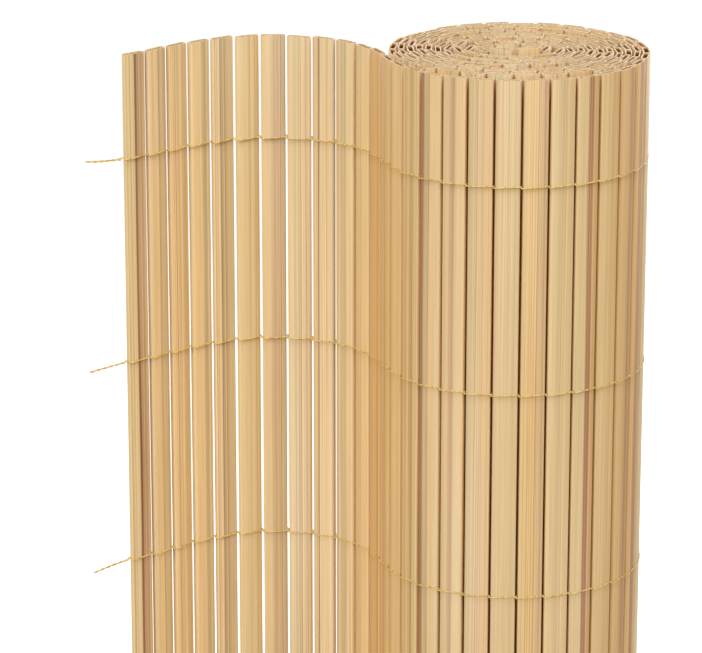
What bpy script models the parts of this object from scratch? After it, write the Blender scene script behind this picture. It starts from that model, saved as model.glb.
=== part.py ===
"""Artificial bamboo screening: hollow plastic slats laced side by side, most of them rolled up.

The mat stands on the ends of its slats. Seen from above, the slats follow one line: it winds out
from an oval core, layer on layer, and leaves the roll in an S curve of loose slats. Each slat is
one pitch further along that line than the one before it. Everything here is drawn as a plan,
made of small flat cells, and the plan is then raised to its height.
"""

import math

import bmesh
import bpy
from mathutils import Matrix, Vector

# Driving dimensions, in metres
MM = 0.001
SCREEN_HEIGHT = 1000 * MM        # length of each slat
SCREEN_LENGTH = 3000 * MM        # length of the mat, laid flat
SLAT_WIDTH = 12.7 * MM
SLAT_THICKNESS = 3.8 * MM
SLAT_WALL = 0.6 * MM
SLAT_GAP = 1.3 * MM              # between the edges of two slats, where the lacing crosses
GAP_FLOOR = 0.4 * MM             # thickness left under the gaps that are cut into a rolled turn

CORE_WIDTH = 32.0 * MM           # oval hole in the middle of the roll
CORE_DEPTH = 15.0 * MM
SIDE_SLACK = 0.35 * MM           # least air between two turns, at the ends of the oval
FLAT_SLACK = 0.8 * MM            # least air between two turns, along its flat sides
CORE_ANGLE = math.radians(-80)   # where the inner end lies on the oval
LEAVING_ANGLE = math.radians(211)  # where the mat leaves the roll, seen from its middle

LACING_ROWS = 9
STRAND = 0.7 * MM                # thickness of a lacing strand
LACING_CLEARANCE = 0.3 * MM      # between a strand and the slats
LACED_ANGLE = math.radians(320)  # how far round the roll the outer strand can be seen
TAIL_LENGTH = 24.0 * MM          # loose ends of the lacing, past the last slat

# Turn of each loose slat against the one before it, in degrees, from the roll to the free edge
LOOSE_BENDS = (14, 5, -4, -12, -15, -14, -12, -13, -14, -12, -9, -5, -1, 4)
HIDDEN_BACK_COUNT = 3            # loose slats whose back strand is still out of sight

SLAT_PITCH = SLAT_WIDTH + SLAT_GAP
EDGE_ROUNDING = 0.3 * SLAT_THICKNESS
ARC_STEPS = 3                    # straight steps round each edge of a loose slat
SAME_POINT = 0.001 * MM          # corners of neighbouring cells closer than this are one


def clear_scene():
    for leftover in list(bpy.data.objects):
        bpy.data.objects.remove(leftover, do_unlink=True)


def plastic(name, colour, roughness):
    material = bpy.data.materials.new(name)
    material.use_nodes = True
    shader = material.node_tree.nodes["Principled BSDF"]
    shader.inputs["Base Color"].default_value = (*colour, 1.0)
    shader.inputs["Roughness"].default_value = roughness
    shader.inputs["Metallic"].default_value = 0.0
    return material


# The line that the slats follow


def wound_radius(core, slack, turns):
    """Half width of the oval after some turns. Flat slats stand further apart on tight turns."""
    start = core / 2 + SLAT_THICKNESS / 2
    layer = SLAT_THICKNESS + slack
    grown = start + turns * layer
    return grown + SLAT_PITCH ** 2 / (8 * layer) * math.log(grown / start)


def winding_point(angle):
    """Middle of the rolled mat after winding clockwise by an angle, in radians."""
    turns = (angle - CORE_ANGLE) / (2 * math.pi)
    across = wound_radius(CORE_WIDTH, SIDE_SLACK, turns) * math.cos(angle)
    deep = wound_radius(CORE_DEPTH, FLAT_SLACK, turns) * math.sin(angle)
    return Vector((across, -deep))


def wind_on(angle):
    """Angle at which the winding is one slat pitch away from where it is now."""
    here = winding_point(angle)
    near = angle
    far = angle + math.pi
    for _ in range(50):
        middle = (near + far) / 2
        if (winding_point(middle) - here).length < SLAT_PITCH:
            near = middle
        else:
            far = middle
    return near


def joint_line():
    """Points between the slats, from the inner end of the roll to the free edge of the mat."""
    rolled = round(SCREEN_LENGTH / SLAT_PITCH) - len(LOOSE_BENDS)
    angle = CORE_ANGLE
    line = [winding_point(angle)]
    for _ in range(rolled):
        angle = wind_on(angle)
        line.append(winding_point(angle))
    leaving = math.atan2(line[-1].y, line[-1].x)
    turned = Matrix.Rotation(LEAVING_ANGLE - leaving, 2)
    line = [turned @ point for point in line]
    step = line[-1] - line[-2]
    for bend in LOOSE_BENDS:
        step = Matrix.Rotation(-math.radians(bend), 2) @ step
        line.append(line[-1] + step.normalized() * SLAT_PITCH)
    return line


def sweep_between(before, after):
    """Angle between two points, seen from the middle of the roll."""
    return abs(Vector(before).angle_signed(Vector(after)))


class Plan:
    """Places on the mat, by slat and by joint. Across points away from the middle of the roll."""

    def __init__(self, joints):
        self.joints = joints
        self.slats = len(joints) - 1
        self.loose = self.slats - len(LOOSE_BENDS)
        self.along = []
        for start, end in zip(joints[:-1], joints[1:]):
            self.along.append((end - start).normalized())

    def on_slat(self, slat, along, across):
        """A point on one slat, measured from the joint where it starts."""
        forward = self.along[slat]
        outward = Vector((-forward.y, forward.x))
        return self.joints[slat] + forward * along + outward * across

    def at_joint(self, joint, along, across):
        """A point beside a joint, measured along the line that halves its bend."""
        before = self.along[max(joint - 1, 0)]
        after = self.along[min(joint, self.slats - 1)]
        forward = (before + after).normalized()
        outward = Vector((-forward.y, forward.x))
        spread = across / forward.dot(after)
        return self.joints[joint] + forward * along + outward * spread

    def turn_starts(self):
        """First slat of each turn, then the first loose slat. All turns sweep the same angle."""
        swept = [0.0]
        for slat in range(self.loose):
            angle = sweep_between(self.joints[slat], self.joints[slat + 1])
            swept.append(swept[-1] + angle)
        turns = math.ceil(swept[-1] / (2 * math.pi))
        starts = [0]
        for slat in range(1, self.loose):
            if swept[slat] >= swept[-1] * len(starts) / turns:
                starts.append(slat)
        return starts + [self.loose]

    def lacing_end(self):
        """Joint on the outermost turn where the lacing goes out of sight under the mat."""
        joint = self.loose
        swept = 0.0
        while joint > 1 and swept < LACED_ANGLE:
            joint -= 1
            swept += sweep_between(self.joints[joint], self.joints[joint + 1])
        return joint


# Cells of the plan


def rolled_slat_cells(plan, slat, opens, closes):
    """A slat that shares its end walls with its neighbours, under a V gap on each face."""
    half = SLAT_THICKNESS / 2
    inside = half - SLAT_WALL
    near = SLAT_GAP / 2 + EDGE_ROUNDING
    far = SLAT_PITCH - near
    outer = [plan.on_slat(slat, near, half), plan.on_slat(slat, far, half)]
    inner = [plan.on_slat(slat, near, -half), plan.on_slat(slat, far, -half)]
    bore_outer = [plan.on_slat(slat, near, inside), plan.on_slat(slat, far, inside)]
    bore_inner = [plan.on_slat(slat, near, -inside), plan.on_slat(slat, far, -inside)]
    floor = GAP_FLOOR / 2
    start = [plan.at_joint(slat, 0, floor), plan.at_joint(slat, 0, -floor)]
    end = [plan.at_joint(slat + 1, 0, floor), plan.at_joint(slat + 1, 0, -floor)]
    if opens:
        start = [plan.on_slat(slat, SLAT_GAP / 2, floor), plan.on_slat(slat, SLAT_GAP / 2, -floor)]
    if closes:
        edge = SLAT_PITCH - SLAT_GAP / 2
        end = [plan.on_slat(slat, edge, floor), plan.on_slat(slat, edge, -floor)]
    return [
        [outer[0], outer[1], bore_outer[1], bore_outer[0]],
        [inner[0], bore_inner[0], bore_inner[1], inner[1]],
        [start[0], outer[0], bore_outer[0], bore_inner[0], inner[0], start[1]],
        [end[1], inner[1], bore_inner[1], bore_outer[1], outer[1], end[0]],
    ]


def flat_tube_outline(plan, slat, wall):
    """Outline of a loose slat, drawn in from its face by a wall: two flats and two round edges."""
    centre = (SLAT_GAP + SLAT_THICKNESS) / 2
    radius = SLAT_THICKNESS / 2 - wall
    outline = []
    for side, middle in ((1, SLAT_PITCH - centre), (-1, centre)):
        for step in range(ARC_STEPS + 1):
            turn = math.pi * step / ARC_STEPS
            along = middle + side * radius * math.sin(turn)
            outline.append(plan.on_slat(slat, along, side * radius * math.cos(turn)))
    return outline


def loose_slat_cells(plan, slat):
    outer = flat_tube_outline(plan, slat, 0.0)
    bore = flat_tube_outline(plan, slat, SLAT_WALL)
    cells = []
    for index in range(len(outer)):
        after = (index + 1) % len(outer)
        cells.append([outer[index], outer[after], bore[after], bore[index]])
    return cells


def lacing_cells(plan):
    """One row: a strand over the roll, then a strand on each face of the loose slats."""
    face = SLAT_THICKNESS / 2 + LACING_CLEARANCE
    top = face + STRAND
    web = SLAT_GAP / 2 - LACING_CLEARANCE
    last = plan.slats
    first = plan.loose + HIDDEN_BACK_COUNT
    cells = []
    for joint in range(plan.lacing_end(), first):
        start = [plan.at_joint(joint, 0, top), plan.at_joint(joint, 0, face)]
        meets = -web if joint + 1 == first else 0
        end = [plan.at_joint(joint + 1, 0, top), plan.at_joint(joint + 1, meets, face)]
        cells.append([start[0], end[0], end[1], start[1]])
    for joint in range(first, last):
        for side in (1, -1):
            start = [plan.at_joint(joint, 0, side * top), plan.at_joint(joint, web, side * face)]
            end = [plan.at_joint(joint + 1, 0, side * top),
                   plan.at_joint(joint + 1, -web, side * face)]
            cells.append([start[0], end[0], end[1], start[1]])
    for joint in range(first, last + 1):
        ends = STRAND if joint == last else face
        cells.append([
            plan.at_joint(joint, 0, top), plan.at_joint(joint, web, ends),
            plan.at_joint(joint, web, -ends), plan.at_joint(joint, 0, -top),
            plan.at_joint(joint, -web, -face), plan.at_joint(joint, -web, face),
        ])
    reach = web + TAIL_LENGTH
    cells.append([
        plan.at_joint(last, web, STRAND), plan.at_joint(last, reach, STRAND),
        plan.at_joint(last, reach, -STRAND), plan.at_joint(last, web, -STRAND),
    ])
    return cells


# Solids


def raise_plan(name, cells, bottom, top, material, parent):
    """Join the cells of a plan into one sheet and raise it to a closed solid."""
    sheet = bmesh.new()
    for cell in cells:
        corners = [sheet.verts.new((corner.x, corner.y, bottom)) for corner in cell]
        sheet.faces.new(corners)
    bmesh.ops.remove_doubles(sheet, verts=sheet.verts, dist=SAME_POINT)
    raised = bmesh.ops.extrude_face_region(sheet, geom=sheet.faces[:], use_keep_orig=True)
    lifted = [item for item in raised["geom"] if isinstance(item, bmesh.types.BMVert)]
    bmesh.ops.translate(sheet, verts=lifted, vec=(0, 0, top - bottom))
    bmesh.ops.recalc_face_normals(sheet, faces=sheet.faces)
    mesh = bpy.data.meshes.new(name)
    sheet.to_mesh(mesh)
    sheet.free()
    mesh.materials.append(material)
    solid = bpy.data.objects.new(name, mesh)
    solid.parent = parent
    bpy.context.collection.objects.link(solid)
    return solid


def build_roll(plan, material, parent):
    starts = plan.turn_starts()
    solids = []
    for turn, (first, after) in enumerate(zip(starts[:-1], starts[1:]), start=1):
        cells = []
        for slat in range(first, after):
            cells += rolled_slat_cells(plan, slat, slat == first, slat == after - 1)
        name = f"rolled_turn_{turn:02d}"
        solids.append(raise_plan(name, cells, 0, SCREEN_HEIGHT, material, parent))
    return solids


def build_loose_slats(plan, material, parent):
    solids = []
    for number, slat in enumerate(range(plan.loose, plan.slats), start=1):
        cells = loose_slat_cells(plan, slat)
        name = f"loose_slat_{number:02d}"
        solids.append(raise_plan(name, cells, 0, SCREEN_HEIGHT, material, parent))
    return solids


def build_lacing(plan, material, parent):
    cells = lacing_cells(plan)
    spacing = SCREEN_HEIGHT / LACING_ROWS
    solids = []
    for row in range(LACING_ROWS):
        middle = spacing * (row + 0.5)
        name = f"lacing_row_{row + 1}"
        bottom = middle - STRAND / 2
        solids.append(raise_plan(name, cells, bottom, bottom + STRAND, material, parent))
    return solids


def middle_of(solids):
    """Middle of the plan of some solids, on the floor."""
    across = [corner.co.x for solid in solids for corner in solid.data.vertices]
    deep = [corner.co.y for solid in solids for corner in solid.data.vertices]
    return Vector((min(across) + max(across), min(deep) + max(deep), 0)) / 2


def main():
    clear_scene()
    screen = bpy.data.objects.new("screening", None)
    bpy.context.collection.objects.link(screen)
    slat_plastic = plastic("printed_pvc", (0.72, 0.52, 0.28), 0.42)
    strand_plastic = plastic("golden_nylon", (0.50, 0.34, 0.09), 0.35)
    plan = Plan(joint_line())
    solids = build_roll(plan, slat_plastic, screen)
    solids += build_loose_slats(plan, slat_plastic, screen)
    solids += build_lacing(plan, strand_plastic, screen)
    screen.location = -middle_of(solids)


main()
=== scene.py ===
# %% [markdown]
# Artificial bamboo screening, rolled up.
#
# The real product is a mat of hollow plastic slats. Each slat is a flattened PVC tube, extruded,
# covered with a printed bamboo grain and sawn to length. Two golden nylon strands run along each
# lacing row, one on each face of the mat, and wind round each other in every gap between slats.
# The mat stands on the sawn ends of its slats, mostly rolled, with a short stretch left loose.
#
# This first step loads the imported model. It is the fixed frame: its slats and lacing say where
# everything is, and the pieces made below stand in their places.

import math
import random

import bpy
from mathutils import Matrix, Vector


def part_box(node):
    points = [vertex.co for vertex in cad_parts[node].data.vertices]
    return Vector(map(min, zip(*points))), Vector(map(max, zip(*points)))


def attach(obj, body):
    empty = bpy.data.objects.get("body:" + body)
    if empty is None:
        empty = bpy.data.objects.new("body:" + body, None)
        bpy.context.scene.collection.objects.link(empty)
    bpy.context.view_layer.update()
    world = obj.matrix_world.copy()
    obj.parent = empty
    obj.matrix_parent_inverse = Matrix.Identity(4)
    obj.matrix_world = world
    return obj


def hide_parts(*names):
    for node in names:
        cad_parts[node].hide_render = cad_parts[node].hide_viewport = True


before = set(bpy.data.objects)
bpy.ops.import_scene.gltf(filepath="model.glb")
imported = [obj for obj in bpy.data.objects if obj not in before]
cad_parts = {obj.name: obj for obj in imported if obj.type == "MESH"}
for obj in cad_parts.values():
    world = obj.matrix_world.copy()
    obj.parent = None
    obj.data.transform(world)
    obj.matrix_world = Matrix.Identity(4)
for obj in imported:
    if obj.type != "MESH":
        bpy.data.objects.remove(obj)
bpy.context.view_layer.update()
print("solids in the frame:", len(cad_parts))

# %% [markdown]
# The sizes of the mat. They are the same driving sizes as in the solid model: what is wound up
# here has to land on the solids of the frame. A slat is 12.7 mm wide on a 14 mm pitch, so the
# mat of 3 m has 214 slats.

# %% Sizes of the mat
MM = 0.001
SCREEN_HEIGHT = 1000 * MM
SCREEN_LENGTH = 3000 * MM
SLAT_WIDTH = 12.7 * MM
SLAT_THICKNESS = 3.8 * MM
SLAT_WALL = 0.6 * MM
SLAT_GAP = 1.3 * MM
SLAT_PITCH = SLAT_WIDTH + SLAT_GAP

CORE_WIDTH = 32.0 * MM                  # oval hole in the middle of the roll
CORE_DEPTH = 15.0 * MM
SIDE_SLACK = 0.35 * MM                  # least air between two turns, at the ends of the oval
FLAT_SLACK = 0.8 * MM                   # least air between two turns, along its flat sides
CORE_ANGLE = math.radians(-80)          # where the inner end lies on the oval
LEAVING_ANGLE = math.radians(211)       # where the mat leaves the roll, seen from its middle

LACING_ROWS = 9
STRAND = 0.7 * MM                       # thickness of a lacing strand
LACED_ANGLE = math.radians(320)         # how far round the roll the outer strand can be seen
TAIL_LENGTH = 24.0 * MM                 # loose ends of the lacing, past the last slat
HIDDEN_BACK_COUNT = 3                   # loose slats whose back strand is still out of sight

# Turn of each loose slat against the one before it, in degrees, from the roll outwards
LOOSE_BENDS = (14, 5, -4, -12, -15, -14, -12, -13, -14, -12, -9, -5, -1, 4)
# Turn of each loose slat in its lacing, against the line of the mat, in the same order
LOOSE_TURNS = (0, 0, 0, -3, -5, -5, -3, 4, 11, 10, 7, 8, 7, 3)
ROLLED_TURN = 2.5                       # degrees a slat inside the roll may be turned
SQUEEZE = 0.20                          # how much flatter a slat inside the roll may be
# Added to the number of a slat, so that its turn and its squeeze don't go together
TURN_SEED = 0.5
SQUEEZE_SEED = 0.25

# %% [markdown]
# The line of the mat. Seen from above, the slats follow one line. It winds out from an oval
# core, layer on layer, and leaves the roll in an S curve. A drawn spiral would do for a sheet,
# but slats are flat, so the line is walked in steps of one pitch: each step is one slat, and
# each corner is one gap, where the lacing lets the mat bend.


# %% Wind up the mat
def wound_radius(core, slack, turns):
    """Half width of the oval after some turns. Flat slats stand further apart on tight turns."""
    start = core / 2 + SLAT_THICKNESS / 2
    layer = SLAT_THICKNESS + slack
    grown = start + turns * layer
    return grown + SLAT_PITCH ** 2 / (8 * layer) * math.log(grown / start)


def winding_point(angle):
    turns = (angle - CORE_ANGLE) / (2 * math.pi)
    across = wound_radius(CORE_WIDTH, SIDE_SLACK, turns) * math.cos(angle)
    deep = wound_radius(CORE_DEPTH, FLAT_SLACK, turns) * math.sin(angle)
    return Vector((across, -deep))


def wind_on(angle):
    """Angle at which the winding is one slat pitch away from where it is now."""
    here = winding_point(angle)
    near = angle
    far = angle + math.pi
    for _ in range(50):
        middle = (near + far) / 2
        if (winding_point(middle) - here).length < SLAT_PITCH:
            near = middle
        else:
            far = middle
    return near


def joint_line():
    """Places of the gaps, from the inner end of the roll to the free edge of the mat."""
    rolled = round(SCREEN_LENGTH / SLAT_PITCH) - len(LOOSE_BENDS)
    angle = CORE_ANGLE
    line = [winding_point(angle)]
    for _ in range(rolled):
        angle = wind_on(angle)
        line.append(winding_point(angle))
    leaving = math.atan2(line[-1].y, line[-1].x)
    turned = Matrix.Rotation(LEAVING_ANGLE - leaving, 2)
    line = [turned @ point for point in line]
    step = line[-1] - line[-2]
    for bend in LOOSE_BENDS:
        step = Matrix.Rotation(-math.radians(bend), 2) @ step
        line.append(line[-1] + step.normalized() * SLAT_PITCH)
    return line


joints = joint_line()
slats = len(joints) - 1
first_loose = slats - len(LOOSE_BENDS)
lowest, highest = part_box(f"loose_slat_{len(LOOSE_BENDS):02d}")
shift = ((lowest + highest) / 2).xy - (joints[-1] + joints[-2]) / 2
joints = [joint + shift for joint in joints]
print("slats:", slats, "of which loose:", slats - first_loose)

# %% [markdown]
# Which slats belong to which solid. The frame has one solid for each turn of the roll and one
# for each loose slat, and every piece made here replaces one of them. The turns are told apart
# as in the solid model: all of them sweep the same angle.


# %% Share the slats out over the turns
def sweep_between(before, after):
    """Angle between two points, seen from the middle of the roll."""
    return abs((before - shift).angle_signed(after - shift))


def turn_starts():
    """First slat of each turn, then the first loose slat."""
    swept = [0.0]
    for slat in range(first_loose):
        swept.append(swept[-1] + sweep_between(joints[slat], joints[slat + 1]))
    turns = math.ceil(swept[-1] / (2 * math.pi))
    starts = [0]
    for slat in range(1, first_loose):
        if swept[slat] >= swept[-1] * len(starts) / turns:
            starts.append(slat)
    return starts + [first_loose]


def lacing_end():
    """Joint on the outermost turn where the lacing goes out of sight under the mat."""
    joint = first_loose
    swept = 0.0
    while joint > 1 and swept < LACED_ANGLE:
        joint -= 1
        swept += sweep_between(joints[joint], joints[joint + 1])
    return joint


starts = turn_starts()
print("first slat of each turn:", starts)


# %% Places on a slat
def slat_turn(slat):
    """How far a slat is turned in its lacing, against the line of the mat."""
    if slat < starts[-2]:
        return math.radians(random.Random(slat + TURN_SEED).uniform(-ROLLED_TURN, ROLLED_TURN))
    if slat < first_loose:
        return 0.0
    return math.radians(LOOSE_TURNS[slat - first_loose])


def slat_axes(slat):
    """Middle of a slat, its direction along the mat, and its outward face."""
    step = (joints[slat + 1] - joints[slat]).normalized()
    forward = Matrix.Rotation(slat_turn(slat), 2) @ step
    outward = Vector((-forward.y, forward.x))
    return (joints[slat] + joints[slat + 1]) / 2, forward, outward


def on_slat(slat, along, across, height):
    """A point this far from the middle of a slat, along it and across it, at a height."""
    middle, forward, outward = slat_axes(slat)
    place = middle + forward * along + outward * across
    return Vector((*place, height))


def gap_axes(joint):
    """Direction of the mat through a gap, halving its bend, and its outward side."""
    before = slat_axes(max(joint - 1, 0))[1]
    after = slat_axes(min(joint, slats - 1))[1]
    forward = (before + after).normalized()
    return forward, Vector((-forward.y, forward.x))


def in_gap(joint, along, across, height):
    """A point in a gap, in the same way."""
    forward, outward = gap_axes(joint)
    place = joints[joint] + forward * along + outward * across
    return Vector((*place, height))


# %% [markdown]
# The camera. The photograph looks at the front of the mat and a little down on the ends of its
# slats. A long lens from two metres away keeps the slats nearly upright, as they are there.

# %% Camera
PHOTO_WIDTH = 702                       # pixels
FOCAL_PIXELS = 4000                     # focal length as the photograph's frame would measure it
SENSOR_WIDTH = 36                       # mm
CAMERA_PITCH = math.radians(17.4)       # looking down
CAMERA_PLACE = (-0.0088, -2.0221, 1.4834)

camera_data = bpy.data.cameras.new("camera")
camera_data.sensor_width = SENSOR_WIDTH
camera_data.lens = FOCAL_PIXELS / PHOTO_WIDTH * SENSOR_WIDTH
camera = bpy.data.objects.new("camera", camera_data)
camera.location = CAMERA_PLACE
camera.rotation_euler = (math.pi / 2 - CAMERA_PITCH, 0, 0)
bpy.context.scene.collection.objects.link(camera)
bpy.context.scene.camera = camera
print("lens in mm:", round(camera_data.lens, 1))

# %% [markdown]
# Small tools for the steps below. Colours are written as sRGB hex values, as a paint chart gives
# them, and Blender's shaders want them linear. Each node of a tree is added with its settings
# and with what goes into its sockets: a value, the output of another node, or just the other
# node where its first output is meant. A colour ramp gets its stops in the same way.


# %% Colour and node tools
def hex_colour(code):
    """An sRGB hex colour as a linear colour with alpha."""
    channels = []
    for start in (0, 2, 4):
        value = int(code.lstrip("#")[start:start + 2], 16) / 255
        channels.append(value / 12.92 if value <= 0.04045 else ((value + 0.055) / 1.055) ** 2.4)
    return (*channels, 1.0)


def feed(tree, node, inputs):
    """Fill a node's inputs, given by name or number, with values, outputs or whole nodes."""
    for name, value in inputs.items():
        if isinstance(value, bpy.types.Node):
            value = next(socket for socket in value.outputs if socket.enabled)
        if isinstance(value, bpy.types.NodeSocket):
            tree.links.new(value, node.inputs[name])
        else:
            node.inputs[name].default_value = value


def add(tree, kind, inputs=None, stops=(), **settings):
    """Add a node with its settings and links, and the stops of its colour ramp if it has one."""
    node = tree.nodes.new(kind)
    for name, value in settings.items():
        setattr(node, name, value)
    feed(tree, node, inputs or {})
    if stops:
        band = node.color_ramp.elements
        while len(band) < len(stops):
            band.new(0.5)
        for stop, (place, colour) in zip(band, stops):
            stop.position = place
            stop.color = colour
    return node


def new_material(name):
    """A material with its Principled shader, ready for a colour and a bump."""
    material = bpy.data.materials.new(name)
    material.use_nodes = True
    return material, material.node_tree, material.node_tree.nodes["Principled BSDF"]


# %% [markdown]
# Printed PVC. The outside of a slat is extruded PVC with a satin film of printed bamboo grain.
# Bamboo print is all lengthways and hardly changes over a metre of height. A slat has one ground
# tint, one or two soft bands over it, now and then a dark line, patches of fine streaks, and a
# grain on all of it. Tint, bands and line differ from slat to slat, so they come with the slat
# as attributes. Streaks and grain are noises that are read in the slat's own place, in
# millimetres, squeezed across the slat and drawn out along it. The number of the slat moves them
# on, so no two slats are alike. The eye sees a soft sheen, no mirror: roughness 0.4 to 0.5, and
# the index of PVC.
#
# Between two slats the light goes back and forth between brown faces and comes out red-brown,
# after more bounces than a picture is given. So where a point sees little of the open, its
# colour is turned that way and it loses its sheen.

# %% Tools for a print
# Settings of a Mix node that lays one colour over another, and of one that multiplies them
MIXED = {"data_type": "RGBA"}
MULTIPLIED = {"data_type": "RGBA", "blend_type": "MULTIPLY"}
# Half widths at which a stripe sets in and is full, as shares of its width
STRIPE_EDGE = 0.62
STRIPE_HEART = 0.36


def print_noise(tree, across_mm, along_mm, step, detail=0.0):
    """A noise in the slat's own place, with its size in mm across and along the slat."""
    place = add(tree, "ShaderNodeAttribute", attribute_name="slat_place").outputs["Vector"]
    number = add(tree, "ShaderNodeAttribute", attribute_name="slat_number").outputs["Fac"]
    scale = (1 / (across_mm * MM), 1 / (across_mm * MM), 1 / (along_mm * MM))
    scaled = add(tree, "ShaderNodeVectorMath", {0: place, 1: scale}, operation="MULTIPLY")
    moved = add(tree, "ShaderNodeVectorMath", {0: step, "Scale": number}, operation="SCALE")
    where = add(tree, "ShaderNodeVectorMath", {0: scaled, 1: moved})
    return add(tree, "ShaderNodeTexNoise", {"Vector": where, "Scale": 1.0, "Detail": detail})


def stripe(tree, name, wander, fading):
    """How strongly a lengthways stripe covers a point: its attribute is place, width, force."""
    stored = add(tree, "ShaderNodeAttribute", attribute_name=name).outputs["Vector"]
    mark = add(tree, "ShaderNodeSeparateXYZ", {0: stored}).outputs
    place = add(tree, "ShaderNodeAttribute", attribute_name="slat_place").outputs["Vector"]
    across = add(tree, "ShaderNodeSeparateXYZ", {0: place}).outputs["X"]
    across = add(tree, "ShaderNodeMath", {0: across, 1: wander}, operation="ADD")
    aside = add(tree, "ShaderNodeMath", {0: across, 1: mark["X"]}, operation="SUBTRACT")
    aside = add(tree, "ShaderNodeMath", {0: aside}, operation="ABSOLUTE")
    edge, heart = [add(tree, "ShaderNodeMath", {0: mark["Y"], 1: share}, operation="MULTIPLY")
                   for share in (STRIPE_EDGE, STRIPE_HEART)]
    cover = add(tree, "ShaderNodeMapRange", {0: aside, 1: edge, 2: heart},
                interpolation_type="SMOOTHSTEP")
    force = add(tree, "ShaderNodeMath", {0: mark["Z"], 1: fading}, operation="MULTIPLY")
    return add(tree, "ShaderNodeMath", {0: cover, 1: force}, operation="MULTIPLY")


# %% Shade in the crevices
DEEP_SHADE = hex_colour("#8C3A0E")
CREVICE_REACH = 12 * MM                 # how far round a point its openness is looked for
CREVICE_RAYS = 4
CREVICE_DEPTH = 0.1                     # openness at which the shade is full
OPEN_SHEEN = 0.5
CREVICE_SHEEN = 0.05


def shade_crevices(tree, shader, colour):
    """Turn a colour red-brown, and take its sheen off, where hardly any light gets in."""
    openness = add(tree, "ShaderNodeAmbientOcclusion", {"Distance": CREVICE_REACH},
                   samples=CREVICE_RAYS).outputs["AO"]
    widest = add(tree, "ShaderNodeAttribute", attribute_name="shade_from").outputs["Fac"]
    deep = add(tree, "ShaderNodeMapRange", {0: openness, 1: widest, 2: CREVICE_DEPTH})
    shaded = add(tree, "ShaderNodeMix", {0: deep, 6: colour, 7: DEEP_SHADE}, **MIXED)
    sheen = add(tree, "ShaderNodeMapRange", {0: deep, 3: OPEN_SHEEN, 4: CREVICE_SHEEN})
    feed(tree, shader, {"Base Color": shaded, "Specular IOR Level": sheen})


# %% Printed PVC
PVC_INDEX = 1.53
STRIPE_WANDER = 0.5 * MM
DARK_LINE = hex_colour("#7F4C2E")
# Factors on the red, green and blue of the ground
UNCHANGED = (1, 1, 1, 1)
GREENER_SHADE = (0.93, 0.93, 0.88, 1)
WARMER_SHADE = (1.02, 0.96, 0.88, 1)
DARK_STREAK = (0.62, 0.50, 0.40, 1)
STREAK_EDGE = (0.92, 0.87, 0.82, 1)
PALE_STREAK = (1.04, 1.04, 1.02, 1)
DARK_GRAIN = (0.89, 0.86, 0.82, 1)
PALE_GRAIN = (1.04, 1.04, 1.04, 1)


def shaded_ground(tree):
    """The ground of a slat, in soft shades about 5 mm wide, a little warmer or greener."""
    ground = add(tree, "ShaderNodeAttribute", attribute_name="ground_tint").outputs["Color"]
    shades = print_noise(tree, 5.0, 2500, (17.3, 5.1, 9.7))
    shades = add(tree, "ShaderNodeValToRGB", {0: shades}, stops=[
        (0.36, GREENER_SHADE), (0.5, UNCHANGED), (0.64, WARMER_SHADE)])
    return add(tree, "ShaderNodeMix", {0: 1.0, 6: ground, 7: shades}, **MULTIPLIED)


def streaked(tree, colour):
    """A colour with streaks 0.65 mm wide, in some parts of a slat only."""
    streaky = print_noise(tree, 7.0, 900, (5.3, 1.9, 8.3))
    streaky = add(tree, "ShaderNodeMapRange", {0: streaky, 1: 0.42, 2: 0.6, 3: 0.15, 4: 1.0})
    streaks = print_noise(tree, 0.65, 1200, (7.9, 3.3, 2.1), detail=1.0)
    streaks = add(tree, "ShaderNodeValToRGB", {0: streaks}, stops=[
        (0.32, DARK_STREAK), (0.41, STREAK_EDGE), (0.5, UNCHANGED), (0.7, PALE_STREAK)])
    return add(tree, "ShaderNodeMix", {0: streaky, 6: colour, 7: streaks}, **MULTIPLIED)


def striped(tree, colour):
    """A colour with two bands and a dark line over it."""
    # A stripe runs a little off its line and fades and comes back, some 30 cm at a time
    slow = print_noise(tree, 60, 280, (3.1, 0.0, 5.7), detail=1.0)
    wander = add(tree, "ShaderNodeMapRange",
                 {0: slow, 1: 0.3, 2: 0.7, 3: -STRIPE_WANDER, 4: STRIPE_WANDER})
    fading = add(tree, "ShaderNodeMapRange", {0: slow, 1: 0.3, 2: 0.7, 3: 0.75, 4: 1.4})
    # A band is itself made of fine lines, so it lets the ground through here and there
    lines = print_noise(tree, 0.6, 1500, (6.1, 2.3, 4.7), detail=1.0)
    lines = add(tree, "ShaderNodeMapRange", {0: lines, 1: 0.35, 2: 0.6, 3: 0.35, 4: 1.2})
    lined = add(tree, "ShaderNodeMath", {0: fading, 1: lines}, operation="MULTIPLY")
    for band in ("first_band", "second_band"):
        tint = add(tree, "ShaderNodeAttribute", attribute_name=band + "_tint").outputs["Color"]
        cover = stripe(tree, band, wander, lined)
        colour = add(tree, "ShaderNodeMix", {0: cover, 6: colour, 7: tint}, **MIXED)
    cover = stripe(tree, "dark_line", wander, fading)
    return add(tree, "ShaderNodeMix", {0: cover, 6: colour, 7: DARK_LINE}, **MIXED)


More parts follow.
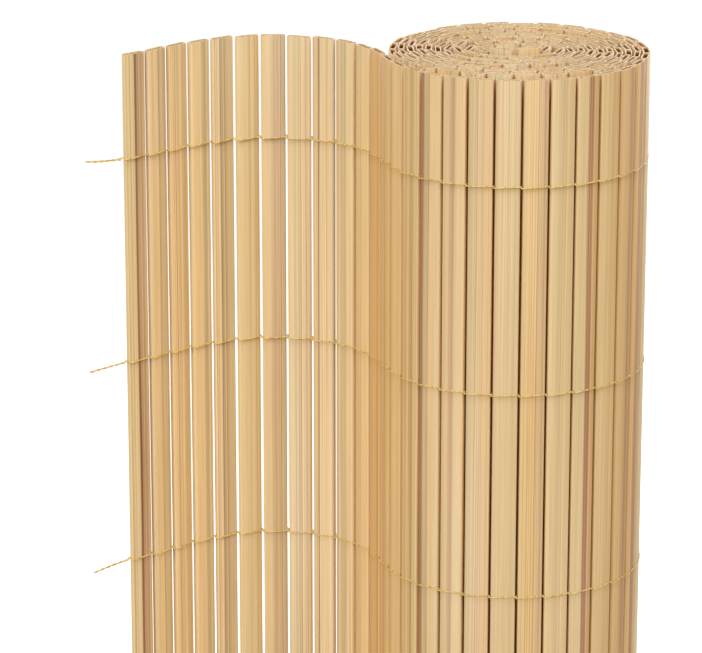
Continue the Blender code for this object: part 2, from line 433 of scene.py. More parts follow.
def printed_pvc():
    material, tree, shader = new_material("printed_pvc")
    colour = striped(tree, streaked(tree, shaded_ground(tree)))
    # The real grain is about 0.1 mm wide; it is drawn at 0.4 mm so that it shows at all
    grain = print_noise(tree, 0.4, 60, (2.7, 8.9, 4.3), detail=2.0)
    grained = add(tree, "ShaderNodeValToRGB", {0: grain}, stops=[
        (0.3, DARK_GRAIN), (0.7, PALE_GRAIN)])
    colour = add(tree, "ShaderNodeMix", {0: 1.0, 6: colour, 7: grained}, **MULTIPLIED)
    shade_crevices(tree, shader, colour)
    rough = add(tree, "ShaderNodeMapRange", {0: grain, 1: 0.3, 2: 0.7, 3: 0.38, 4: 0.5})
    bump = add(tree, "ShaderNodeBump", {"Height": grain, "Distance": 0.04 * MM, "Strength": 0.4})
    feed(tree, shader, {"Roughness": rough, "Normal": bump, "IOR": PVC_INDEX})
    return material


# %% [markdown]
# Bare PVC and sawn PVC. Inside, a slat has no print, and its mouth is pale. Further down, the bore
# is painted darker as shade for the little light that gets in there: the painted shade sets in
# half a millimetre down, and below two and a half it is all a deep red-brown. The sawn ends
# themselves are palest, matt and full of crumbs.


# %% Bare and sawn PVC
# Painted shade down the bore, where little light gets in: a half shade, then a deep red-brown one
BORE_HALF_SHADE = hex_colour("#A05C28")
BORE_DEEP_SHADE = hex_colour("#451C0A")
# How far below the mouth of a slat each painted shade sets in and has taken over
BORE_SHADES = ((0.4 * MM, 1.2 * MM, BORE_HALF_SHADE), (1.4 * MM, 2.6 * MM, BORE_DEEP_SHADE))


def bare_pvc():
    material, tree, shader = new_material("bare_pvc")
    lines = print_noise(tree, 1.5, 200, (4.1, 1.7, 6.3), detail=1.0)
    colour = add(tree, "ShaderNodeValToRGB", {0: lines}, stops=[
        (0.3, hex_colour("#D2AB74")), (0.7, hex_colour("#E8CB98"))])
    place = add(tree, "ShaderNodeAttribute", attribute_name="slat_place").outputs["Vector"]
    up = add(tree, "ShaderNodeSeparateXYZ", {0: place}).outputs["Z"]
    # Painted shade: the bore turns darker further down, where little light gets in
    for near, far, bore_shade in BORE_SHADES:
        below = add(tree, "ShaderNodeMapRange",
                    {0: up, 1: SCREEN_HEIGHT - near, 2: SCREEN_HEIGHT - far})
        colour = add(tree, "ShaderNodeMix", {0: below, 6: colour, 7: bore_shade}, **MIXED)
    feed(tree, shader, {"Base Color": colour, "Roughness": 0.6, "Specular IOR Level": 0.03,
                        "IOR": PVC_INDEX})
    return material


def sawn_pvc():
    material, tree, shader = new_material("sawn_pvc")
    # Crumbs about a millimetre across
    crumbs = print_noise(tree, 1.3, 1.3, (11.3, 4.9, 7.7), detail=3.0)
    colour = add(tree, "ShaderNodeValToRGB", {0: crumbs}, stops=[
        (0.38, hex_colour("#BE8E58")), (0.46, hex_colour("#F6E1BA")), (0.6, hex_colour("#FDF1DA"))])
    bump = add(tree, "ShaderNodeBump", {"Height": crumbs, "Distance": 0.2 * MM, "Strength": 0.6})
    feed(tree, shader, {"Base Color": colour, "Normal": bump, "Roughness": 0.7, "IOR": PVC_INDEX})
    return material


PRINTED = printed_pvc()
BARE = bare_pvc()
SAWN = sawn_pvc()
for finish in (PRINTED, BARE, SAWN):
    print("nodes of", finish.name + ":", len(finish.node_tree.nodes))

# %% [markdown]
# One slat, many times. A slat is a wall swept round a flattened loop, so the tree does just
# that: it squares a circle into the loop with the formula of a superellipse, and sweeps along it
# a rectangle as thick as the wall and as high as the mat. Sweeping the tall rectangle round the
# short loop, and not the loop up the height, gives the bore and both sawn ends in one go. Then
# one slat is put on each edge of the host line, turned along it, stretched a little so that the
# sawn ends are not all level, and squeezed a little if it is inside the roll. Geometry Nodes
# suit this better than 214 modelled slats, because one change of a size changes them all.

# %% A tool for trees with named inputs
def new_tree(name, sizes):
    """An empty tree with geometry in and out and named sizes, which come back as sockets."""
    tree = bpy.data.node_groups.new(name, "GeometryNodeTree")
    tree.interface.new_socket("Geometry", in_out="INPUT", socket_type="NodeSocketGeometry")
    for label, kind in sizes:
        tree.interface.new_socket(label, in_out="INPUT", socket_type=kind)
    tree.interface.new_socket("Geometry", in_out="OUTPUT", socket_type="NodeSocketGeometry")
    return tree, tree.nodes.new("NodeGroupInput").outputs


def grow(name, host, tree, sizes):
    """Run a tree on a host mesh, and keep what it makes as a plain mesh."""
    piece = bpy.data.objects.new(name, host)
    bpy.context.scene.collection.objects.link(piece)
    modifier = piece.modifiers.new("make", "NODES")
    modifier.node_group = tree
    for item in tree.interface.items_tree:
        if item.item_type == "SOCKET" and item.in_out == "INPUT" and item.name in sizes:
            modifier[item.identifier] = sizes[item.name]
    bpy.context.view_layer.update()
    graph = bpy.context.evaluated_depsgraph_get()
    made = bpy.data.meshes.new_from_object(
        piece.evaluated_get(graph), preserve_all_data_layers=True, depsgraph=graph)
    piece.modifiers.remove(modifier)
    piece.data = made
    made.name = name
    return piece


# %% The section of a slat
SECTION_SQUARENESS = 9.0                # power of the superellipse along the slat's width
SECTION_CROWN = 3.2                     # and through its thickness: 2 is round, more is flatter
ROUND_EDGES = 0.2 * MM                  # added to the width: bright edges fade into a gap


def squared(tree, part, power, half):
    """One side of a unit circle's point, pushed outwards to a superellipse of that half size."""
    size = add(tree, "ShaderNodeMath", {0: part}, operation="ABSOLUTE")
    size = add(tree, "ShaderNodeMath", {0: size, 1: 2 / power}, operation="POWER")
    size = add(tree, "ShaderNodeMath", {0: size, 1: half}, operation="MULTIPLY")
    sign = add(tree, "ShaderNodeMath", {0: part}, operation="SIGN")
    return add(tree, "ShaderNodeMath", {0: size, 1: sign}, operation="MULTIPLY")


def slat_wall(tree, sizes):
    """The tall rectangle that is swept round the loop: the wall of a slat, in its section."""
    wall = add(tree, "GeometryNodeCurvePrimitiveQuadrilateral",
               {0: sizes["Slat Wall"], 1: sizes["Slat Height"]})
    inwards = add(tree, "ShaderNodeMath", {0: sizes["Slat Wall"], 1: -0.5}, operation="MULTIPLY")
    aside = add(tree, "ShaderNodeCombineXYZ", {"X": inwards})
    return add(tree, "GeometryNodeTransform", {"Geometry": wall, "Translation": aside})


# %% The tree of a slat
def one_slat(tree, sizes):
    """A tube on the origin, whose faces know whether they are sawn ends or line the bore."""
    position = add(tree, "GeometryNodeInputPosition")
    half_height, half_width, half_thickness = [
        add(tree, "ShaderNodeMath", {0: sizes[label], 1: 0.5}, operation="MULTIPLY")
        for label in ("Slat Height", "Slat Width", "Slat Thickness")]
    circle = add(tree, "GeometryNodeCurvePrimitiveCircle",
                 {"Resolution": sizes["Points Round Slat"], "Radius": 1.0})
    unit = add(tree, "ShaderNodeSeparateXYZ", {0: position}).outputs
    loop_place = add(tree, "ShaderNodeCombineXYZ", {
        "X": squared(tree, unit["X"], SECTION_SQUARENESS, half_width),
        "Y": squared(tree, unit["Y"], SECTION_CROWN, half_thickness)})
    loop = add(tree, "GeometryNodeSetPosition", {"Geometry": circle, "Position": loop_place})
    tube = add(tree, "GeometryNodeCurveToMesh",
               {"Curve": loop, "Profile Curve": slat_wall(tree, sizes)})
    lift = add(tree, "ShaderNodeCombineXYZ", {"Z": half_height})
    tube = add(tree, "GeometryNodeSetPosition", {"Geometry": tube, "Offset": lift})

    normal = add(tree, "GeometryNodeInputNormal")
    upright = add(tree, "ShaderNodeSeparateXYZ", {0: normal}).outputs["Z"]
    upright = add(tree, "ShaderNodeMath", {0: upright}, operation="ABSOLUTE")
    sawn = add(tree, "FunctionNodeCompare", {0: upright, 1: 0.5})
    level = add(tree, "ShaderNodeVectorMath", {0: position, 1: (1, 1, 0)}, operation="MULTIPLY")
    outwards = add(tree, "ShaderNodeVectorMath", {0: normal, 1: level},
                   operation="DOT_PRODUCT").outputs["Value"]
    bore = add(tree, "FunctionNodeCompare", {0: outwards, 1: 0.0}, operation="LESS_THAN")
    for name, kind, domain, value in (("slat_place", "FLOAT_VECTOR", "POINT", position),
                                      ("is_bore", "BOOLEAN", "FACE", bore),
                                      ("is_sawn", "BOOLEAN", "FACE", sawn)):
        tube = add(tree, "GeometryNodeStoreNamedAttribute",
                   {"Geometry": tube, "Name": name, "Value": value}, data_type=kind, domain=domain)
    walls = add(tree, "FunctionNodeBooleanMath", {0: sawn}, operation="NOT")
    return add(tree, "GeometryNodeSetShadeSmooth", {"Geometry": tube, "Shade Smooth": walls})


def slat_tree():
    tree, sizes = new_tree("slats_along_a_line", [
        ("Slat Height", "NodeSocketFloat"), ("Slat Width", "NodeSocketFloat"),
        ("Slat Thickness", "NodeSocketFloat"), ("Slat Wall", "NodeSocketFloat"),
        ("Points Round Slat", "NodeSocketInt")])
    ends = add(tree, "GeometryNodeInputMeshEdgeVertices").outputs
    along = add(tree, "ShaderNodeVectorMath", {0: ends["Position 2"], 1: ends["Position 1"]},
                operation="SUBTRACT")
    host = add(tree, "GeometryNodeStoreNamedAttribute",
               {"Geometry": sizes["Geometry"], "Name": "along", "Value": along},
               data_type="FLOAT_VECTOR", domain="EDGE")
    places = add(tree, "GeometryNodeMeshToPoints", {"Mesh": host}, mode="EDGES")
    along = add(tree, "GeometryNodeInputNamedAttribute", {"Name": "along"},
                data_type="FLOAT_VECTOR")
    facing = add(tree, "FunctionNodeAlignRotationToVector", {"Vector": along},
                 axis="X", pivot_axis="Z")
    turned, squash, stretch = [
        add(tree, "GeometryNodeInputNamedAttribute", {"Name": name}, data_type="FLOAT")
        for name in ("turned", "squash", "stretch")]
    turn = add(tree, "ShaderNodeCombineXYZ", {"Z": turned})
    turn = add(tree, "FunctionNodeEulerToRotation", {0: turn})
    facing = add(tree, "FunctionNodeRotateRotation", {0: facing, 1: turn})
    scale = add(tree, "ShaderNodeCombineXYZ", {"X": 1.0, "Y": squash, "Z": stretch})
    mat = add(tree, "GeometryNodeInstanceOnPoints", {
        "Points": places, "Instance": one_slat(tree, sizes), "Rotation": facing, "Scale": scale})
    mat = add(tree, "GeometryNodeRealizeInstances", {"Geometry": mat})
    mat = add(tree, "GeometryNodeSetMaterial", {"Geometry": mat, "Material": PRINTED})
    for name, finish in (("is_bore", BARE), ("is_sawn", SAWN)):
        chosen = add(tree, "GeometryNodeInputNamedAttribute", {"Name": name}, data_type="BOOLEAN")
        mat = add(tree, "GeometryNodeSetMaterial",
                  {"Geometry": mat, "Selection": chosen, "Material": finish})
    add(tree, "NodeGroupOutput", {"Geometry": mat})
    return tree


# %% [markdown]
# The print of each slat. The film runs off a long roll, so no two slats have the same bands, and
# the ones that show most clearly in the photograph are listed one by one: a brown half, a dark
# line beside it, a brown stripe. The other slats draw theirs from a seeded random choice. Places
# are counted from the middle of a slat, and slats from the free edge.

# %% Tints, bands and lines of the print
GROUND_TINTS = {"straw": "#EED09A", "tan": "#E9CA96", "green": "#E2CB98", "peach": "#EDCB99",
                "ochre": "#E8C68C", "cream": "#EED4A4", "gold": "#E2BB7E"}
BAND_TINTS = {"brown": "#A9744A", "pink": "#CBA078", "grey green": "#BFA77A", "ochre": "#D0A062"}
PRINT_SEED = 7
PRINT_REACH = 5.5                       # mm from the middle of a slat to the last place drawn
BAND_WIDTHS = (1.4, 5.0)                # mm
LINE_WIDTHS = (0.3, 0.6)                # mm
WEAKEST_BAND = 0.1
STRONGEST_BANDS = (0.6, 0.35)
STRONGEST_LINE = 0.5
# Slat from the free edge: ground, then place, width (mm), force and tint of each of two bands,
# then place, width and force of a dark line
SEEN_PRINTS = {
    1: ("straw", (-3.0, 7.4, 0.66, "brown"), (-3.6, 1.2, 0.2, "grey green"), (0.0, 1.4, 0.90)),
    2: ("tan", (-3.5, 5.6, 0.30, "brown"), (-5.6, 1.6, 0.3, "ochre"), (-0.4, 0.8, 0.40)),
    3: ("straw", (-3.8, 5.2, 0.50, "ochre"), (1.4, 2.0, 0.3, "pink"), (0.6, 0.4, 0.20)),
    4: ("straw", (-1.8, 3.4, 0.50, "grey green"), (-5.2, 2.0, 0.5, "ochre"), (-2.4, 0.4, 0.25)),
    5: ("cream", (-1.9, 8.2, 0.52, "grey green"), (-0.6, 1.2, 0.5, "brown"), (2.2, 0.7, 0.60)),
    6: ("straw", (-4.6, 3.0, 0.40, "ochre"), (0.0, 1.5, 0.2, "pink"), (-3.6, 0.3, 0.15)),
    7: ("tan", (-0.9, 4.4, 0.42, "pink"), (-4.9, 2.9, 0.6, "grey green"), (-3.5, 0.5, 0.45)),
    8: ("cream", (1.0, 3.6, 0.30, "grey green"), (-4.2, 3.4, 0.4, "pink"), (-4.3, 0.4, 0.35)),
    9: ("cream", (3.2, 1.6, 0.40, "pink"), (5.2, 1.6, 0.2, "grey green"), (2.5, 0.7, 0.60)),
    10: ("cream", (5.2, 2.2, 0.55, "pink"), (0.6, 4.6, 0.4, "grey green"), (4.1, 0.4, 0.25)),
    11: ("straw", (5.0, 2.6, 0.40, "ochre"), (1.0, 1.6, 0.2, "ochre"), (3.0, 0.4, 0.15)),
    12: ("gold", (4.0, 3.4, 0.35, "ochre"), (-1.0, 3.0, 0.3, "ochre"), (2.0, 0.5, 0.25)),
    13: ("gold", (3.8, 3.8, 0.35, "pink"), (-2.6, 2.0, 0.2, "ochre"), (5.2, 0.4, 0.30)),
    14: ("ochre", (-4.6, 3.0, 0.15, "pink"), (3.8, 3.0, 0.4, "ochre"), (4.6, 0.4, 0.20)),
    15: ("ochre", (4.0, 3.0, 0.40, "ochre"), (-5.0, 1.6, 0.3, "pink"), (-2.8, 0.4, 0.20)),
    16: ("tan", (4.9, 2.9, 0.95, "brown"), (2.2, 3.4, 0.6, "grey green"), (0.6, 0.5, 0.45)),
    17: ("tan", (0.3, 2.6, 0.75, "pink"), (3.4, 4.0, 0.2, "grey green"), (0.0, 0.5, 0.30)),
    18: ("tan", (4.2, 4.4, 0.30, "grey green"), (-3.0, 6.0, 0.2, "pink"), (1.5, 0.6, 0.35)),
    19: ("tan", (5.2, 2.2, 0.45, "pink"), (-4.6, 3.0, 0.2, "grey green"), (2.4, 0.3, 0.15)),
    20: ("ochre", (-4.4, 4.2, 0.50, "pink"), (-5.2, 1.2, 0.2, "brown"), (-2.2, 0.4, 0.30)),
    21: ("tan", (0.0, 4.4, 0.40, "grey green"), (-4.4, 3.0, 0.3, "ochre"), (-2.0, 0.3, 0.20)),
    22: ("tan", (-1.2, 2.8, 1.0, "brown"), (-4.6, 3.4, 0.8, "ochre"), (-2.8, 0.5, 0.40)),
    # Slats 23 to 25 stand at the right of the roll: their grounds are partly print, partly painted
    # warm shade
    23: ("ochre", (-3.0, 5.0, 0.40, "ochre"), (1.4, 0.8, 0.4, "grey green"), (-5.0, 0.4, 0.20)),
    24: ("gold", (-4.0, 4.6, 0.60, "brown"), (0.6, 3.0, 0.3, "ochre"), (-1.0, 0.4, 0.20)),
    25: ("gold", (-0.6, 4.6, 0.85, "brown"), (-4.4, 3.0, 0.5, "ochre"), (1.5, 0.5, 0.35)),
}


def drawn_print(slat):
    """The print of a slat that is out of sight in the photograph, drawn by chance."""
    chance = random.Random(PRINT_SEED * 1000 + slat)
    ground = chance.choice(list(GROUND_TINTS))
    bands = []
    for strongest in STRONGEST_BANDS:
        bands.append((chance.uniform(-PRINT_REACH, PRINT_REACH), chance.uniform(*BAND_WIDTHS),
                      chance.uniform(WEAKEST_BAND, strongest), chance.choice(list(BAND_TINTS))))
    line = (chance.uniform(-PRINT_REACH, PRINT_REACH), chance.uniform(*LINE_WIDTHS),
            chance.uniform(0.0, STRONGEST_LINE))
    return ground, *bands, line


# %% [markdown]
# Ends that are not level. The slats stay in line along the mat, but as the mat is rolled up its
# layers slip a little, so each turn stands a bit higher or lower than the next. At the front the
# inner layers stand above the outermost one, and the core stands highest. That shows as faces
# and shadows between the sawn ends, where level ends would look like a drawing. The feet stay
# level, because the roll stands on them, so each slat is only stretched upwards by a hair.

# %% Heights of the slats
LAYER_SLIP = 0.8 * MM                   # how far a layer may stand above or below its height
CORE_LIFT = 3.0 * MM                    # how far the front of the core is pushed up
CORE_SINK = 0.4                         # share of that by which its back is pushed down
FRONT_PUSH = 1.5 * MM                   # how far the layers behind its front stand higher
BACK_DROP = 0.8 * MM                    # how far the back of the outermost turn hangs lower
SAW_ERROR = 0.4 * MM                    # of each single slat
# Distance from the core's middle, to the front or the back, at which each of them is full
CORE_LIFT_AT = 8 * MM
FRONT_PUSH_AT = 25 * MM
BACK_DROP_AT = 30 * MM
SLIP_WAVES = ((23.0, 0.6, 0.3), (8.7, 0.4, 2.1))   # slats in a wave, share and phase
# The outermost turn and the loose stretch are in line, and further in the slip grows
SLATS_IN_LINE = 14
SLATS_TO_FULL_SLIP = 20
LEAST_SLIP = 0.12                       # share of it that is left in the slats in line


def share_at(distance, full, least=0.0):
    """What there is of something at a distance, as a share of what there is at the full one."""
    return min(max(distance / full, least), 1.0)


def stretch_of(slat):
    """Height of a slat over its nominal one, as a factor."""
    wave = sum(share * math.sin(2 * math.pi * slat / length + phase)
               for length, share, phase in SLIP_WAVES)
    inwards = first_loose - SLATS_IN_LINE - slat
    slip = LAYER_SLIP * share_at(inwards, SLATS_TO_FULL_SLIP, LEAST_SLIP)
    behind = ((joints[slat] + joints[slat + 1]) / 2 - shift).y
    lift = 0.0
    if slat < starts[1]:
        lift = CORE_LIFT * share_at(-behind, CORE_LIFT_AT, -CORE_SINK)
    elif slat < starts[-2]:
        lift = FRONT_PUSH * share_at(-behind, FRONT_PUSH_AT)
    elif slat < first_loose:
        lift = -BACK_DROP * share_at(behind, BACK_DROP_AT)
    error = random.Random(slat).uniform(-SAW_ERROR, SAW_ERROR)
    return 1 + (wave * slip + lift + error) / SCREEN_HEIGHT


def squash_of(slat):
    """Thickness of a slat as a factor: the ones inside the roll are squeezed, some more."""
    if slat >= starts[-2]:
        return 1.0
    return 1 - random.Random(slat + SQUEEZE_SEED).uniform(0, SQUEEZE)


# %% Set up the slats
# How open to light a crevice may be and still darken: more inside the roll
SHADED_INSIDE = 0.6
SHADED_OUTERMOST = 0.28
SHADED_LOOSE = 0.22


def shading_of(slat):
    if slat < starts[-2]:
        return SHADED_INSIDE
    return SHADED_OUTERMOST if slat < first_loose else SHADED_LOOSE


def stripe_values(place, width, force):
    return [place * MM, width * MM, force]


def slat_host(name, first, after):
    """A line of edges, one for each slat, with what the tree needs to know about each."""
    host = bpy.data.meshes.new(name)
    corners = [(*joints[joint], 0.0) for joint in range(first, after + 1)]
    host.from_pydata(corners, [(step, step + 1) for step in range(after - first)], [])
    numbers = list(range(first, after))
    known = [("slat_number", "FLOAT", "value", numbers)]
    for label, rule in (("turned", slat_turn), ("stretch", stretch_of), ("squash", squash_of),
                        ("shade_from", shading_of)):
        known.append((label, "FLOAT", "value", [rule(slat) for slat in numbers]))
    prints = [SEEN_PRINTS.get(slats - slat) or drawn_print(slat) for slat in numbers]
    grounds = [part for ground, *_ in prints for part in hex_colour(GROUND_TINTS[ground])]
    known.append(("ground_tint", "FLOAT_COLOR", "color", grounds))
    for column, band in ((1, "first_band"), (2, "second_band")):
        marks = [part for row in prints for part in stripe_values(*row[column][:3])]
        tints = [part for row in prints for part in hex_colour(BAND_TINTS[row[column][3]])]
        known.append((band, "FLOAT_VECTOR", "vector", marks))
        known.append((band + "_tint", "FLOAT_COLOR", "color", tints))
    dark = [part for row in prints for part in stripe_values(*row[3])]
    known.append(("dark_line", "FLOAT_VECTOR", "vector", dark))
    for label, kind, field, values in known:
        host.attributes.new(label, kind, "EDGE").data.foreach_set(field, values)
    return host


def set_up_slats(node, name, first, after, points):
    """Grow a run of slats, in the place of a node of the frame."""
    piece = grow(name, slat_host(name, first, after), SLAT_TREE, {
        "Slat Height": SCREEN_HEIGHT, "Slat Width": SLAT_WIDTH + ROUND_EDGES,
        "Slat Thickness": SLAT_THICKNESS, "Slat Wall": SLAT_WALL,
        "Points Round Slat": points})
    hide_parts(node)
    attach(piece, "root")
    return piece


SLAT_TREE = slat_tree()
ROLLED_POINTS = 16                      # points round a slat that is packed in the roll
SEEN_POINTS = 24                        # and round one whose face is in view
faces = 0
for turn, (first, after) in enumerate(zip(starts[:-1], starts[1:]), start=1):
    outermost = turn >= len(starts) - 2
    piece = set_up_slats(f"rolled_turn_{turn:02d}", f"slats_of_turn_{turn:02d}", first, after,
                         SEEN_POINTS if outermost else ROLLED_POINTS)
    faces += len(piece.data.polygons)
for number, slat in enumerate(range(first_loose, slats), start=1):
    piece = set_up_slats(f"loose_slat_{number:02d}", f"free_slat_{number:02d}", slat, slat + 1,
                         SEEN_POINTS)
    faces += len(piece.data.polygons)
print("faces of all slats:", faces)

# %% [markdown]
# The lacing. Each row is two nylon strands. On a slat, one lies on its face and the other on its
# back. In the gap they wind round each other for a turn and a half and change sides, so that on
# every slat the strand leaves one gap high and comes to the next one low. Past the last slat the
# two are twisted together and cut off. A strand is a line of points with a round section swept
# along it: the line follows the rule in code, and the tree rounds it off and gives it its body.

# %% Route of the strands
STRAND_RADIUS = STRAND / 2
WIND_HEIGHT = 0.38 * MM                 # how far a strand rises or falls where it winds in a gap
WIND_ASIDE = 0.12 * MM                  # and how far it swings along the mat there
HALF_TURNS = 3                          # of one strand round the other in a gap
GAP_POINTS = 7                          # of a route through a gap
GAP_REACH = SLAT_THICKNESS / 2 - 0.1 * MM   # just inside the face of the mat
DIP_DEPTH = -0.3 * MM                   # where a strand turns back in a gap of the roll
ON_SLAT_SHARES = (-0.42, -0.3, -0.1, 0.1, 0.3, 0.42)   # points of a route, in slat widths
TWIST_PITCH = 8.0 * MM                  # of the two strands of a tail
TWIST_POINTS = 8                        # of a tail's route, on each turn of its twist
TAIL_RADIUS = 0.30 * MM                 # of the twist, once it has closed
TAIL_CLOSING = 0.8 * MM                 # how soon the two strands of a tail come together
TAIL_STIFFNESS = 0.4                    # share of its droop that a tail has at its root
# How far each tail hangs down, in degrees, from the bottom row up
TAIL_DROOPS = (6, 2, 8, 4, 9, 3, 5, 2, -6)


def crown(share):
    """Half thickness of a slat at a share of its width from the middle."""
    across = abs(2 * share) ** SECTION_SQUARENESS
    return SLAT_THICKNESS / 2 * (1 - across) ** (1 / SECTION_CROWN)


def over_slat(slat, side, height):
    """A strand on one side of a slat: high where it starts, low where it ends."""
    points = []
    for share in ON_SLAT_SHARES:
        rise = -WIND_HEIGHT * share / ON_SLAT_SHARES[-1]
        across = side * (crown(share) + STRAND_RADIUS)
        points.append(on_slat(slat, share * SLAT_WIDTH, across, height + rise))
    return points


def through_gap(joint, side, height):
    """A strand that goes in at one side of the mat and comes out at the other."""
    points = []
    for step in range(GAP_POINTS):
        share = step / (GAP_POINTS - 1)
        phase = HALF_TURNS * math.pi * share
        across = side * GAP_REACH * math.cos(math.pi * share)
        points.append(in_gap(joint, side * WIND_ASIDE * math.sin(phase), across,
                             height - WIND_HEIGHT * math.cos(phase)))
    return points


def into_gap_and_back(joint, height):
    """A strand on the roll: it dips into the gap, round the hidden one, and comes out again."""
    points = []
    for step in range(GAP_POINTS):
        share = step / (GAP_POINTS - 1)
        phase = HALF_TURNS * math.pi * share
        across = DIP_DEPTH + (GAP_REACH - DIP_DEPTH) * abs(math.cos(math.pi * share))
        points.append(in_gap(joint, WIND_ASIDE * math.sin(phase), across,
                             height - WIND_HEIGHT * math.cos(phase)))
    return points


def tail(side, height, droop):
    """The end of a strand, past the free edge, twisted with the other one."""
    forward, outward = [Vector((*axis, 0)) for axis in gap_axes(slats)]
    upward = Vector((0, 0, 1))
    start = Vector((*joints[slats], height - WIND_HEIGHT))
    points = []
    steps = round(TAIL_LENGTH / TWIST_PITCH * TWIST_POINTS)
    for step in range(steps + 1):
        share = step / steps
        reach = share * TAIL_LENGTH
        phase = 2 * math.pi * reach / TWIST_PITCH
        closing = math.exp(-reach / TAIL_CLOSING)
        radius = TAIL_RADIUS + (SLAT_THICKNESS / 2 - TAIL_RADIUS) * closing
        bend = TAIL_STIFFNESS + (1 - TAIL_STIFFNESS) * share
        fall = reach * math.tan(math.radians(droop)) * bend
        points.append(start + forward * reach - upward * fall
                      + outward * side * radius * math.cos(phase)
                      + upward * side * radius * math.sin(phase))
    return points


def strand_routes(height, droop):
    """The two strands of a row, as lists of points."""
    split = first_loose + HIDDEN_BACK_COUNT
    routes = [[], []]
    # On the roll only the outer strand is in sight
    for joint in range(lacing_end(), split):
        routes[0] += into_gap_and_back(joint, height)
        routes[0] += over_slat(joint, 1, height)
    sides = (1, -1)
    for joint in range(split, slats):
        for route, side in zip(routes, sides):
            route += through_gap(joint, side, height)
            route += over_slat(joint, -side, height)
        sides = sides[::-1]
    for route, side in zip(routes, sides):
        route += tail(side, height, droop)
    return routes


# %% [markdown]
# Nylon monofilament. It is drawn through a die and stretched, so it is glass smooth and a little
# see-through, and here it is a golden yellow. The eye sees a thin bright line along it.

# %% Nylon
NYLON_INDEX = 1.53


def golden_nylon():
    material, tree, shader = new_material("golden_nylon")
    place = add(tree, "ShaderNodeTexCoord").outputs["Object"]
    # Cloudy patches about 2 mm long
    cloud = add(tree, "ShaderNodeTexNoise", {"Vector": place, "Scale": 1 / (2 * MM), "Detail": 2.0})
    colour = add(tree, "ShaderNodeValToRGB", {0: cloud}, stops=[
        (0.3, hex_colour("#E2B444")), (0.7, hex_colour("#FFEA94"))])
    rough = add(tree, "ShaderNodeMapRange", {0: cloud, 1: 0.3, 2: 0.7, 3: 0.22, 4: 0.34})
    feed(tree, shader, {"Base Color": colour, "Roughness": rough, "IOR": NYLON_INDEX,
                        "Transmission Weight": 0.15})
    return material


NYLON = golden_nylon()
print("nodes of", NYLON.name + ":", len(NYLON.node_tree.nodes))


# %% The tree of a strand
def strand_tree():
    tree, sizes = new_tree("strand_along_a_line", [
        ("Strand Radius", "NodeSocketFloat"), ("Sides", "NodeSocketInt"),
        ("Points Between", "NodeSocketInt")])
    line = add(tree, "GeometryNodeMeshToCurve", {"Mesh": sizes["Geometry"]})
    line = add(tree, "GeometryNodeCurveSplineType", {"Curve": line}, spline_type="CATMULL_ROM")
    line = add(tree, "GeometryNodeSetSplineResolution",
               {"Geometry": line, "Resolution": sizes["Points Between"]})
    ring = add(tree, "GeometryNodeCurvePrimitiveCircle",
               {"Resolution": sizes["Sides"], "Radius": sizes["Strand Radius"]})
    strand = add(tree, "GeometryNodeCurveToMesh",
                 {"Curve": line, "Profile Curve": ring, "Fill Caps": True})
    strand = add(tree, "GeometryNodeSetShadeSmooth", {"Geometry": strand})
    strand = add(tree, "GeometryNodeRealizeInstances", {"Geometry": strand})
    strand = add(tree, "GeometryNodeSetMaterial", {"Geometry": strand, "Material": NYLON})
    add(tree, "NodeGroupOutput", {"Geometry": strand})
    return tree


# %% Lace the rows
def route_host(name, routes):
    """Each route as a line of edges."""
    host = bpy.data.meshes.new(name)
    corners = []
    edges = []
    for route in routes:
        start = len(corners)
        corners += route
        edges += [(start + step, start + step + 1) for step in range(len(route) - 1)]
    host.from_pydata(corners, edges, [])
    return host


STRAND_TREE = strand_tree()
STRAND_SIDES = 6
POINTS_BETWEEN = 2                      # of the rounded line, for each point of a route
faces = 0
for row in range(1, LACING_ROWS + 1):
    height = SCREEN_HEIGHT / LACING_ROWS * (row - 0.5)
    name = f"strands_of_row_{row}"
    routes = strand_routes(height, TAIL_DROOPS[row - 1])
    piece = grow(name, route_host(name, routes), STRAND_TREE, {
        "Strand Radius": STRAND_RADIUS, "Sides": STRAND_SIDES, "Points Between": POINTS_BETWEEN})
    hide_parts(f"lacing_row_{row}")
    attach(piece, "root")
    faces += len(piece.data.polygons)
print("faces of the lacing:", faces)

# %% [markdown]
# Floor, sky and lamps. The photograph has no room, only white. The floor is matt white card that
# keeps the shadow of the mat. Rays from the camera, mirrored ones too, see it lifted to white
# with a little light of its own. The rays that spread soft light don't, so it doesn't light the
# mat. The sky is done likewise. The lamps are large and soft. The key at the front left is the
# strongest, with a weak fill at the right, so each slat turns darker to its right. One above
# lights the sawn ends, and one behind keeps the back of the roll from going dull.

# %% Floor and sky
FLOOR_SIZE = 30.0
AMBIENT = 0.36                          # strength of the sky where it isn't seen but lights
FLOOR_LIFT = 0.66                       # light of the floor where it is seen


def seen_straight(tree):
    """One for rays from the camera, mirrored ones and ones through glass."""
    path = add(tree, "ShaderNodeLightPath").outputs
    seen = path["Is Camera Ray"]
    for kind in ("Is Glossy Ray", "Is Transmission Ray"):
        seen = add(tree, "ShaderNodeMath", {0: seen, 1: path[kind]}, operation="MAXIMUM")
    return seen


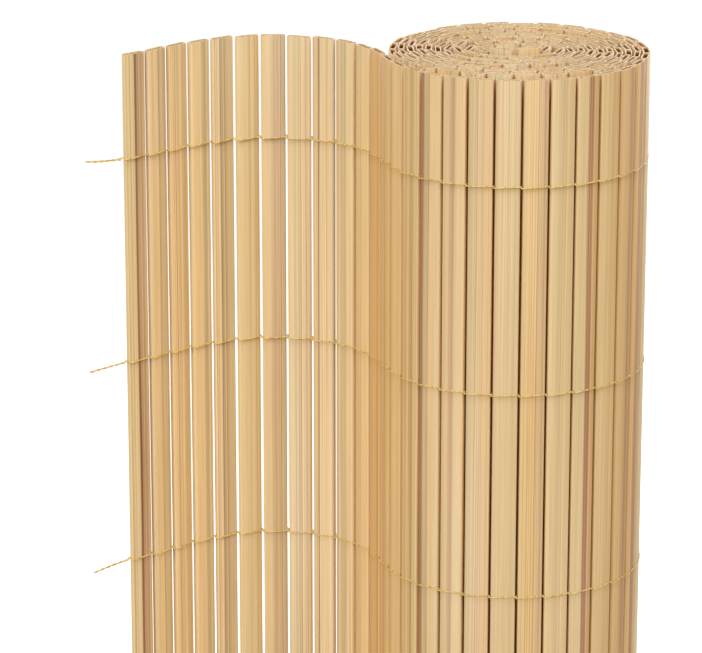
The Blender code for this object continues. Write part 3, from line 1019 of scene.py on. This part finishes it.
def white_card():
    material, tree, shader = new_material("white_card")
    place = add(tree, "ShaderNodeTexCoord").outputs["Object"]
    # Fibres about 3 mm long
    fibres = add(tree, "ShaderNodeTexNoise", {"Vector": place, "Scale": 1 / (3 * MM)})
    colour = add(tree, "ShaderNodeValToRGB", {0: fibres}, stops=[
        (0.3, hex_colour("#F1F1F0")), (0.7, hex_colour("#F5F5F4"))])
    lift = add(tree, "ShaderNodeMath", {0: seen_straight(tree), 1: FLOOR_LIFT},
               operation="MULTIPLY")
    feed(tree, shader, {"Base Color": colour, "Roughness": 0.9, "Emission Color": (1, 1, 1, 1),
                        "Emission Strength": lift})
    return material


floor_mesh = bpy.data.meshes.new("floor")
edge = FLOOR_SIZE / 2
floor_mesh.from_pydata([(-edge, -edge, 0), (edge, -edge, 0), (edge, edge, 0), (-edge, edge, 0)],
                       [], [(0, 1, 2, 3)])
floor_mesh.materials.append(white_card())
floor = bpy.data.objects.new("floor", floor_mesh)
bpy.context.scene.collection.objects.link(floor)

world = bpy.data.worlds.new("white_room")
world.use_nodes = True
bpy.context.scene.world = world
strength = add(world.node_tree, "ShaderNodeMapRange",
               {0: seen_straight(world.node_tree), 3: AMBIENT, 4: 1.0})
feed(world.node_tree, world.node_tree.nodes["Background"],
     {"Color": (1, 1, 1, 1), "Strength": strength})


# %% Lamps
def soft_lamp(name, place, aim, size, power):
    """A round lamp aimed at a place, with its size in metres and its power in watts."""
    data = bpy.data.lights.new(name, "AREA")
    data.shape = "DISK"
    data.size = size
    data.energy = power
    lamp = bpy.data.objects.new(name, data)
    lamp.location = place
    lamp.rotation_euler = (Vector(aim) - Vector(place)).to_track_quat("-Z", "Y").to_euler()
    bpy.context.scene.collection.objects.link(lamp)


MAT_MIDDLE = (0, 0, 0.8)
soft_lamp("key", (-1.9, -2.4, 2.3), MAT_MIDDLE, 1.5, 39)
soft_lamp("fill", (2.4, -1.8, 1.6), MAT_MIDDLE, 1.6, 17)
soft_lamp("top", (0.1, -0.5, 3.2), MAT_MIDDLE, 1.2, 18)
soft_lamp("back", (0.9, 2.6, 1.9), MAT_MIDDLE, 1.6, 24)

# %% [markdown]
# The last step sets how the picture is shown, plain and without a film look.

# %% Show
bpy.context.scene.view_settings.view_transform = "Standard"
